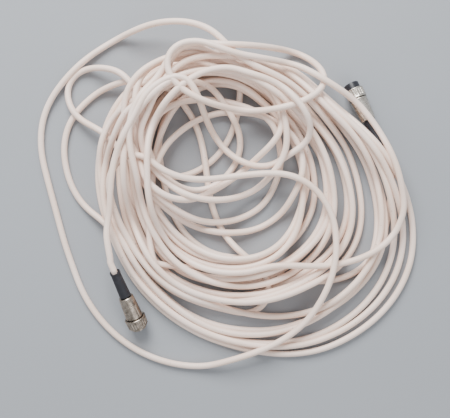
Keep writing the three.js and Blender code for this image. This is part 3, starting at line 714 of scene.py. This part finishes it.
def turned(name, spindle, outline, relief=None, sides=TURNED_SIDES):
    """Outline of (distance behind, radius) turned about a spindle: point = centre + radius *
    (cos turn * side + sin turn * up). It runs over the outside from the tail to the nose, and starts and
    ends on the axis or else closes on itself. relief gives the depth taken off at a distance behind
    and a turn."""
    behind, radius = np.array(outline, float).T
    has_poles = radius[0] == 0
    if has_poles:
        poles = spindle.at(behind[[0, -1]])
        behind, radius = behind[1:-1], radius[1:-1]
    turn = np.linspace(0, 2 * np.pi, sides, endpoint=False)
    depth = relief(behind[:, None], turn[None, :]) if relief else 0
    reach = (radius[:, None] - depth)[..., None] * np.ones((1, sides, 1))
    around_axis = np.cos(turn)[:, None] * spindle.side + np.sin(turn)[:, None] * spindle.up
    vertices = (spindle.at(behind)[:, None] + reach * around_axis[None]).reshape(-1, 3)
    faces, corners = grid_faces(len(behind), sides, wrap_rows=not has_poles)
    along = np.concatenate([[0], np.cumsum(np.hypot(np.diff(behind), np.diff(radius)))])
    along = np.append(along, along[-1])
    uvs = np.stack([corners[..., 1] / sides, along[corners[..., 0]]], axis=-1).reshape(-1, 2)
    faces = faces.tolist()
    if has_poles:
        column = np.arange(sides)
        following = (column + 1) % sides
        last_row = (len(behind) - 1) * sides
        hub = np.full(sides, len(vertices))
        vertices = np.vstack([vertices, poles])
        faces += np.stack([hub, following, column], axis=1).tolist()
        faces += np.stack([hub + 1, last_row + column, last_row + following], axis=1).tolist()
        uvs = np.vstack([uvs, np.zeros((6 * sides, 2))])
    return mesh_object(name, vertices, faces, uvs)


def boot(plug, kind):
    """Moulded strain relief: tapered to the cable, with a soft lip and a recess at its tail."""
    tail = BOOT_END
    mouth = CABLE_R + 0.0004
    outline = rounded(
        [
            (tail - 0.004, 0),
            (tail - 0.004, mouth),
            (tail - 0.0006, mouth + 0.0002),
            (tail, mouth + 0.0009),
            (tail, BOOT_LIP_R - 0.0003),
            (tail - BOOT_LIP_LENGTH, BOOT_LIP_R),
            (tail - 2 * BOOT_LIP_LENGTH, BOOT_TAIL_R),
            (BOOT_START + 0.0004, BOOT_FRONT_R),
            (BOOT_START, BOOT_FRONT_R - 0.0004),
            (BOOT_START, 0),
        ],
        bend=0.0005,
    )
    return turned("boot_" + kind + "_moulded", plug, outline)


def body_skin(behind):
    """Outer radius of the body, which narrows evenly from its front to its tail."""
    return np.interp(behind, [BODY_START, BODY_START + BODY_LENGTH], [BODY_FRONT_R, BODY_TAIL_R])


def body(plug, kind):
    """Drawn metal body: tapered, with a rolled tail edge, a seam around it and a slit along its front."""
    tail = BODY_START + BODY_LENGTH
    seam = tail - BODY_SEAM_AT
    outline = rounded(
        [
            (tail - 0.0002, 0),
            (tail - 0.0002, BODY_TAIL_R - 0.0010),
            (tail, BODY_TAIL_R - 0.0006),
            (tail - 0.0006, BODY_TAIL_R),
            (tail - 0.0016, BODY_TAIL_R + 0.0001),
            (tail - 0.0019, BODY_TAIL_R - 0.0002),
            (tail - 0.0023, body_skin(tail - 0.0023)),
            (seam + 0.0004, body_skin(seam)),
            (seam, body_skin(seam) - 0.0004),
            (seam - 0.0004, body_skin(seam)),
            *[(seam - 0.0004 - step, body_skin(seam - step)) for step in np.linspace(0.0006, 0.0106, 6)],
            (BODY_START + 0.0006, BODY_FRONT_R),
            (BODY_START, BODY_FRONT_R - 0.0005),
            (BODY_START, 0),
        ],
        bend=0.00025,
    )

    def slit(behind, turn):
        across = np.abs(np.mod(turn - SLIT_TURN + np.pi, 2 * np.pi) - np.pi) * BODY_FRONT_R
        inside = smooth((SLIT_WIDTH / 2 + 0.0002 - across) / 0.0002)
        before_seam = smooth((seam - 0.0006 - behind) / 0.0004)
        return SLIT_DEPTH * inside * before_seam * (behind > BODY_START + 0.0003)

    return turned("body_" + kind + "_drawn", plug, outline, slit, sides=BODY_SIDES)


def body_screw(plug, kind):
    """Grub screw in the body's side: a short cylinder with a rounded rim and a conical socket."""
    behind = BODY_START + BODY_LENGTH - SCREW_AT
    top = body_skin(behind) + SCREW_PROUD
    spindle = Spindle(plug.at(behind) + plug.side * top, plug.side, plug.axis)
    outline = rounded(
        [(SCREW_LENGTH, 0), (SCREW_LENGTH, SCREW_R), (0, SCREW_R), (0, SCREW_R * 0.55), (0.0007, 0)],
        bend=0.0002,
    )
    return turned("body_screw_" + kind + "_turned", spindle, outline, sides=32)


def coupling_ring(plug, kind, ring_r, taper, bore_r):
    """Knurled ring: flutes between two plain rims, with a bore that runs clear of the plug's front.
    A flute's depth follows half a cosine wave across it and fades out towards the rims."""
    edge = 0.0005
    rows = 26
    skin_behind = np.linspace(RING_LENGTH - edge, edge, rows)
    skin = ring_r * (1 - taper * (1 - skin_behind / RING_LENGTH))
    outline = [(RING_LENGTH, bore_r + edge), (RING_LENGTH, skin[0] - edge)]
    outline += list(zip(skin_behind, skin))
    outline += [(0, skin[-1] - edge), (0, bore_r + edge), (edge, bore_r), (RING_LENGTH - edge, bore_r)]

    def flutes(behind, turn):
        wave = 0.5 - 0.5 * np.cos(RING_FLUTES * turn)
        depth = FLUTE_DEPTH * smooth(wave * 1.6 - 0.25)
        place = np.arange(len(outline))
        outside = (place > 1) & (place < rows + 2)
        fade = smooth((behind - FLUTES_FROM) / 0.0006) * smooth((FLUTES_TO - behind) / 0.0006)
        rim_groove = RIM_GROOVE * np.exp(-(((behind - FLUTES_TO - 0.0003) / 0.00025) ** 2))
        return (depth * fade + rim_groove) * outside[:, None]

    return turned("coupling_ring_" + kind + "_knurled", plug, outline, flutes, sides=RING_FLUTES * 10)


def shield():
    """Thin round shield of the pin plug: a cup with a rolled front edge and a floor at the body."""
    inner = SHIELD_R - SHIELD_WALL
    floor = BODY_START - JOINT_GAP
    outline = rounded(
        [
            (floor, 0),
            (floor, SHIELD_R),
            (-SHIELD_PROUD, SHIELD_R),
            (-SHIELD_PROUD, inner),
            (floor - SHIELD_WALL, inner),
            (floor - SHIELD_WALL, 0),
        ],
        bend=0.00025,
    )
    return turned("shield_pin_plug_rolled", PIN_PLUG, outline)


def insulator():
    """Moulded disc that carries the contacts, with a rounded edge."""
    floor = BODY_START - 2 * JOINT_GAP - SHIELD_WALL
    radius = SHIELD_R - SHIELD_WALL - JOINT_GAP
    face = floor - INSULATOR_LENGTH
    outline = rounded([(floor, 0), (floor, radius), (face, radius), (face, 0)], bend=0.0003)
    return turned("insulator_pin_plug_moulded", PIN_PLUG, outline)


def contact_places():
    """Centre of each contact as sideways distances: one in the middle and the rest on an open arc."""
    turns = np.pi / 2 + PIN_ARC * (np.linspace(0, 1, PIN_ARC_COUNT) - 0.5)
    return [(0.0, 0.0)] + list(zip(PIN_CIRCLE_R * np.cos(turns), PIN_CIRCLE_R * np.sin(turns)))


def contact_pins():
    """Round pins with domed tips, standing out of the insulator's face."""
    face = BODY_START - 2 * JOINT_GAP - SHIELD_WALL - INSULATOR_LENGTH
    foot = face + 0.0005
    tip = face - JOINT_GAP - PIN_LENGTH
    made = []
    for number, (x, y) in enumerate(contact_places(), start=1):
        origin = PIN_PLUG.front + x * PIN_PLUG.side + y * PIN_PLUG.up
        spindle = Spindle(origin, PIN_PLUG.axis, PIN_PLUG.side)
        outline = rounded([(foot, 0), (foot, PIN_R), (tip, PIN_R), (tip, 0)], bend=0.0006)
        made.append(turned(f"contact_pin_{number}_plated", spindle, outline, sides=20))
    return made


def nose():
    """Moulded nose of the socket plug: a cylinder with a rounded edge, drilled for each contact."""
    floor = BODY_START - JOINT_GAP
    face = -NOSE_PROUD
    outline = rounded([(floor, 0), (floor, NOSE_R), (face, NOSE_R), (face, 0)], bend=NOSE_EDGE)
    made = turned("nose_socket_plug_moulded", SOCKET_PLUG, outline)
    bottom = CONTACT_HOLE_DEPTH - NOSE_PROUD
    mouth = face - 0.001
    for x, y in contact_places():
        origin = SOCKET_PLUG.front + x * SOCKET_PLUG.side + y * SOCKET_PLUG.up
        spindle = Spindle(origin, SOCKET_PLUG.axis, SOCKET_PLUG.side)
        hole = [(bottom, 0), (bottom, CONTACT_HOLE_R), (mouth, CONTACT_HOLE_R), (mouth, 0)]
        drill = turned("drill", spindle, hole, sides=20)
        cut = made.modifiers.new("cut", "BOOLEAN")
        cut.operation = "DIFFERENCE"
        cut.object = drill
        bpy.context.view_layer.update()
        evaluated = made.evaluated_get(bpy.context.evaluated_depsgraph_get())
        drilled = bpy.data.meshes.new_from_object(evaluated)
        made.modifiers.remove(cut)
        made.data = drilled
        bpy.data.objects.remove(drill)
    made.data.shade_smooth()
    made.data.set_sharp_from_angle(angle=np.radians(40))
    return made


def linear(colour):
    """Linear colour with alpha from an sRGB hex colour."""
    srgb = np.array([int(colour[k : k + 2], 16) for k in (1, 3, 5)]) / 255
    rgb = np.where(srgb <= 0.04045, srgb / 12.92, ((srgb + 0.055) / 1.055) ** 2.4)
    return (*rgb.tolist(), 1.0)


def add(tree, kind, inputs=None):
    """Adds a node and returns its outputs. Each of its inputs is given a value or a hex colour, or is
    linked to an output."""
    made = tree.nodes.new("ShaderNode" + kind)
    for name, value in (inputs or {}).items():
        if isinstance(value, bpy.types.NodeSocket):
            tree.links.new(value, made.inputs[name])
        else:
            made.inputs[name].default_value = linear(value) if isinstance(value, str) else value
    return made.outputs


def new_material(name):
    """Empty material and its node tree."""
    made = bpy.data.materials.new(name)
    made.use_nodes = True
    made.node_tree.nodes.clear()
    return made, made.node_tree


def extruded_pvc_jacket():
    """Soft PVC, extruded over the cores. It gives a satin sheen, faint streaks along the cable where the
    die dragged, warmer patches where it has aged, and a few specks of dust."""
    made, tree = new_material("extruded_pvc_jacket")
    coordinates = add(tree, "TexCoord")
    place, skin = coordinates["Object"], coordinates["UV"]
    streaks_around = np.pi * CABLE_D * 1000 / STREAK_WIDTH_MM
    streak_scale = (streaks_around, 1000 / STREAK_LENGTH_MM, 1.0)
    lengthwise = add(tree, "Mapping", {"Vector": skin, "Scale": streak_scale})[0]
    streaks = add(tree, "TexNoise", {"Vector": lengthwise, "Scale": 1.0, "Detail": 3.0})[0]
    patches = add(tree, "TexNoise", {"Vector": place, "Scale": 1000 / PATCH_MM, "Detail": 2.0})[0]
    specks = add(tree, "TexNoise", {"Vector": place, "Scale": 1000 / SPECK_MM, "Detail": 1.0})[0]
    pebble = add(tree, "TexNoise", {"Vector": place, "Scale": 1000 / PEBBLE_MM, "Detail": 2.0})[0]
    aged = add(tree, "MapRange", {"Value": patches, "From Min": 0.35, "From Max": 0.65})[0]
    colour = add(tree, "MixRGB", {"Fac": aged, "Color1": JACKET_CLEAN, "Color2": JACKET_AGED})[0]
    streak_range = {"Value": streaks, "From Min": 0.45, "From Max": 0.75, "To Max": 0.35}
    dragged = add(tree, "MapRange", streak_range)[0]
    colour = add(tree, "MixRGB", {"Fac": dragged, "Color1": colour, "Color2": JACKET_STREAK})[0]
    dust_range = {"Value": specks, "From Min": 0.74, "From Max": 0.80, "To Max": 0.5}
    dusty = add(tree, "MapRange", dust_range)[0]
    colour = add(tree, "MixRGB", {"Fac": dusty, "Color1": colour, "Color2": JACKET_DUST})[0]
    satin = add(tree, "MapRange", {"Value": streaks, "To Min": 0.38, "To Max": 0.52})[0]
    bump = add(tree, "Bump", {"Height": pebble, "Strength": 0.12, "Distance": 0.00008})[0]
    look = {"Base Color": colour, "Roughness": satin, "IOR": 1.53, "Normal": bump}
    add(tree, "OutputMaterial", {"Surface": add(tree, "BsdfPrincipled", look)[0]})
    return made


def moulded_rubber():
    """Black PVC rubber from a mould. It gives a dull blue-black skin with a fine spark-eroded grain and
    paler rub marks."""
    made, tree = new_material("moulded_rubber")
    place = add(tree, "TexCoord")["Object"]
    grain = add(tree, "TexNoise", {"Vector": place, "Scale": 1000 / GRAIN_MM, "Detail": 2.0})[0]
    rubs = add(tree, "TexNoise", {"Vector": place, "Scale": 1000 / RUB_MM, "Detail": 4.0})[0]
    rubbed = add(tree, "MapRange", {"Value": rubs, "From Min": 0.5, "From Max": 0.8, "To Max": 0.5})[0]
    colour = add(tree, "MixRGB", {"Fac": rubbed, "Color1": RUBBER, "Color2": RUBBER_RUBBED})[0]
    dull = add(tree, "MapRange", {"Value": grain, "To Min": 0.5, "To Max": 0.72})[0]
    bump = add(tree, "Bump", {"Height": grain, "Strength": 0.3, "Distance": 0.0001})[0]
    look = {"Base Color": colour, "Roughness": dull, "IOR": 1.52, "Normal": bump}
    add(tree, "OutputMaterial", {"Surface": add(tree, "BsdfPrincipled", look)[0]})
    return made


def nickel_plate(name, clean, tarnished):
    """Nickel plated on turned brass. It gives a warm grey mirror, broken by the fine rings of the lathe,
    with tarnish in soft spots and hairline scratches that dull it."""
    made, tree = new_material(name)
    coordinates = add(tree, "TexCoord")
    place, skin = coordinates["Object"], coordinates["UV"]
    ring_scale = (1 / LATHE_RING_TURNS, 1000 / LATHE_RING_MM, 1.0)
    lathe = add(tree, "Mapping", {"Vector": skin, "Scale": ring_scale})[0]
    rings = add(tree, "TexNoise", {"Vector": lathe, "Scale": 1.0, "Detail": 2.0})[0]
    spots = add(tree, "TexNoise", {"Vector": place, "Scale": 1000 / SPOT_MM, "Detail": 4.0})[0]
    hairlines = add(tree, "TexNoise", {"Vector": place, "Scale": 1000 / SCRATCH_MM, "Detail": 6.0})[0]
    tarnish = add(tree, "MapRange", {"Value": spots, "From Min": 0.42, "From Max": 0.68})[0]
    colour = add(tree, "MixRGB", {"Fac": tarnish, "Color1": clean, "Color2": tarnished})[0]
    dull = add(tree, "MapRange", {"Value": hairlines, "To Min": 0.16, "To Max": 0.40})[0]
    bump = add(tree, "Bump", {"Height": rings, "Strength": 0.18, "Distance": 0.00004})[0]
    look = {"Base Color": colour, "Metallic": 1.0, "Roughness": dull, "Normal": bump}
    add(tree, "OutputMaterial", {"Surface": add(tree, "BsdfPrincipled", look)[0]})
    return made


def moulded_insulator():
    """Glass-filled nylon from a polished mould. It gives a deep blue-black with a soft shine."""
    made, tree = new_material("moulded_insulator")
    place = add(tree, "TexCoord")["Object"]
    flow = add(tree, "TexNoise", {"Vector": place, "Scale": 1000 / FLOW_MM, "Detail": 3.0})[0]
    colour = add(tree, "MixRGB", {"Fac": flow, "Color1": INSULATOR, "Color2": INSULATOR_FLOW})[0]
    shine = add(tree, "MapRange", {"Value": flow, "To Min": 0.28, "To Max": 0.44})[0]
    bump = add(tree, "Bump", {"Height": flow, "Strength": 0.08, "Distance": 0.0001})[0]
    look = {"Base Color": colour, "Roughness": shine, "IOR": 1.53, "Normal": bump}
    add(tree, "OutputMaterial", {"Surface": add(tree, "BsdfPrincipled", look)[0]})
    return made


def plated_contact():
    """Gold flash over brass. It gives a pale yellow mirror, worn towards brass in spots."""
    made, tree = new_material("plated_contact")
    place = add(tree, "TexCoord")["Object"]
    wear = add(tree, "TexNoise", {"Vector": place, "Scale": 1000 / WEAR_MM, "Detail": 3.0})[0]
    colour = add(tree, "MixRGB", {"Fac": wear, "Color1": CONTACT, "Color2": CONTACT_WORN})[0]
    dull = add(tree, "MapRange", {"Value": wear, "To Min": 0.18, "To Max": 0.36})[0]
    look = {"Base Color": colour, "Metallic": 1.0, "Roughness": dull}
    add(tree, "OutputMaterial", {"Surface": add(tree, "BsdfPrincipled", look)[0]})
    return made


def painted_floor():
    """Matt paint, rolled on. It gives an even pale grey with a barely seen mottle."""
    made, tree = new_material("painted_floor")
    place = add(tree, "TexCoord")["Object"]
    mottle = add(tree, "TexNoise", {"Vector": place, "Scale": 1000 / MOTTLE_MM, "Detail": 5.0})[0]
    colour = add(tree, "MixRGB", {"Fac": mottle, "Color1": FLOOR, "Color2": FLOOR_MOTTLE})[0]
    look = {"Base Color": colour, "Roughness": 0.8, "IOR": 1.5}
    add(tree, "OutputMaterial", {"Surface": add(tree, "BsdfPrincipled", look)[0]})
    return made


def camera():
    """Camera that looks straight down, with the top of the picture towards +Y."""
    data = bpy.data.cameras.new("camera")
    data.sensor_width = SENSOR_WIDTH * 1000
    data.lens = SENSOR_WIDTH * 1000 * CAMERA_HEIGHT / VIEW_WIDTH
    data.clip_start = 0.01
    made = bpy.data.objects.new("camera", data)
    made.location = (*CAMERA_OVER, CAMERA_HEIGHT)
    bpy.context.scene.collection.objects.link(made)
    bpy.context.scene.camera = made


def soft_box(name, place, size, power):
    """Square lamp that faces the middle of the roll."""
    data = bpy.data.lights.new(name, "AREA")
    data.size = size
    data.energy = power
    made = bpy.data.objects.new(name, data)
    made.location = place
    made.rotation_euler = (Vector((0, 0, 0.01)) - Vector(place)).to_track_quat("-Z", "Y").to_euler()
    bpy.context.scene.collection.objects.link(made)


def studio():
    """Pale floor and plain soft light, strongest from the top of the picture."""
    half = FLOOR_SIZE / 2
    corners = np.array([(-half, -half, 0), (half, -half, 0), (half, half, 0), (-half, half, 0)])
    floor = mesh_object("floor", corners, [(0, 1, 2, 3)])
    floor.data.materials.append(painted_floor())
    for lamp in LAMPS:
        soft_box(*lamp)
    world = bpy.data.worlds.new("room")
    world.use_nodes = True
    background = world.node_tree.nodes["Background"]
    background.inputs["Color"].default_value = linear(ROOM)
    background.inputs["Strength"].default_value = ROOM_LIGHT
    bpy.context.scene.world = world


def dress(piece, material, node, body):
    """Gives a piece its material and its body, and hides the CAD node that it stands for."""
    piece.data.materials.clear()
    piece.data.materials.append(material)
    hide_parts(node)
    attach(piece, body)
    return piece


camera()
studio()

jacket = extruded_pvc_jacket()
rubber = moulded_rubber()
# Painted light: the pin plug's nickel is a darker copy that stands for painted shade, and the socket
# plug's is a paler copy that stands for painted light.
pin_nickel_painted_shade = nickel_plate("nickel_plate_painted_shade", NICKEL_PAINTED_SHADE, NICKEL_PAINTED_SHADE_DULL)
socket_nickel_painted_light = nickel_plate("nickel_plate_painted_light", NICKEL_PAINTED_LIGHT, NICKEL_PAINTED_LIGHT_DULL)
insulator_nylon = moulded_insulator()
contact_gold = plated_contact()

cable_piece, cable_centre, cable_length = cable()
cable_piece.data.materials.append(jacket)
strands = [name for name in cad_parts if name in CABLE_NODES]
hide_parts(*strands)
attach(cable_piece, "cable")

pin_pieces = [
    dress(boot(PIN_PLUG, "pin_plug"), rubber, "boot_pin_plug", "cable"),
    dress(body(PIN_PLUG, "pin_plug"), pin_nickel_painted_shade, "body_pin_plug", "cable"),
    dress(body_screw(PIN_PLUG, "pin_plug"), pin_nickel_painted_shade, "body_screw_pin_plug", "cable"),
    dress(
        coupling_ring(PIN_PLUG, "pin_plug", PIN_RING_R, PIN_RING_TAPER, SHIELD_R + RING_RUNNING_GAP),
        pin_nickel_painted_shade, "coupling_ring_pin_plug", "pin_plug_ring",
    ),
    dress(shield(), pin_nickel_painted_shade, "shield_pin_plug", "cable"),
    dress(insulator(), insulator_nylon, "insulator_pin_plug", "cable"),
]
for number, pin in enumerate(contact_pins(), start=1):
    pin_pieces.append(dress(pin, contact_gold, f"contact_pin_{number}", "cable"))

dress(boot(SOCKET_PLUG, "socket_plug"), rubber, "boot_socket_plug", "cable")
dress(body(SOCKET_PLUG, "socket_plug"), socket_nickel_painted_light, "body_socket_plug", "cable")
dress(
    body_screw(SOCKET_PLUG, "socket_plug"),
    socket_nickel_painted_light, "body_screw_socket_plug", "cable",
)
dress(
    coupling_ring(SOCKET_PLUG, "socket_plug", SOCKET_RING_R, SOCKET_RING_TAPER, NOSE_R + RING_RUNNING_GAP),
    socket_nickel_painted_light, "coupling_ring_socket_plug", "socket_plug_ring",
)
dress(nose(), insulator_nylon, "nose_socket_plug", "cable")
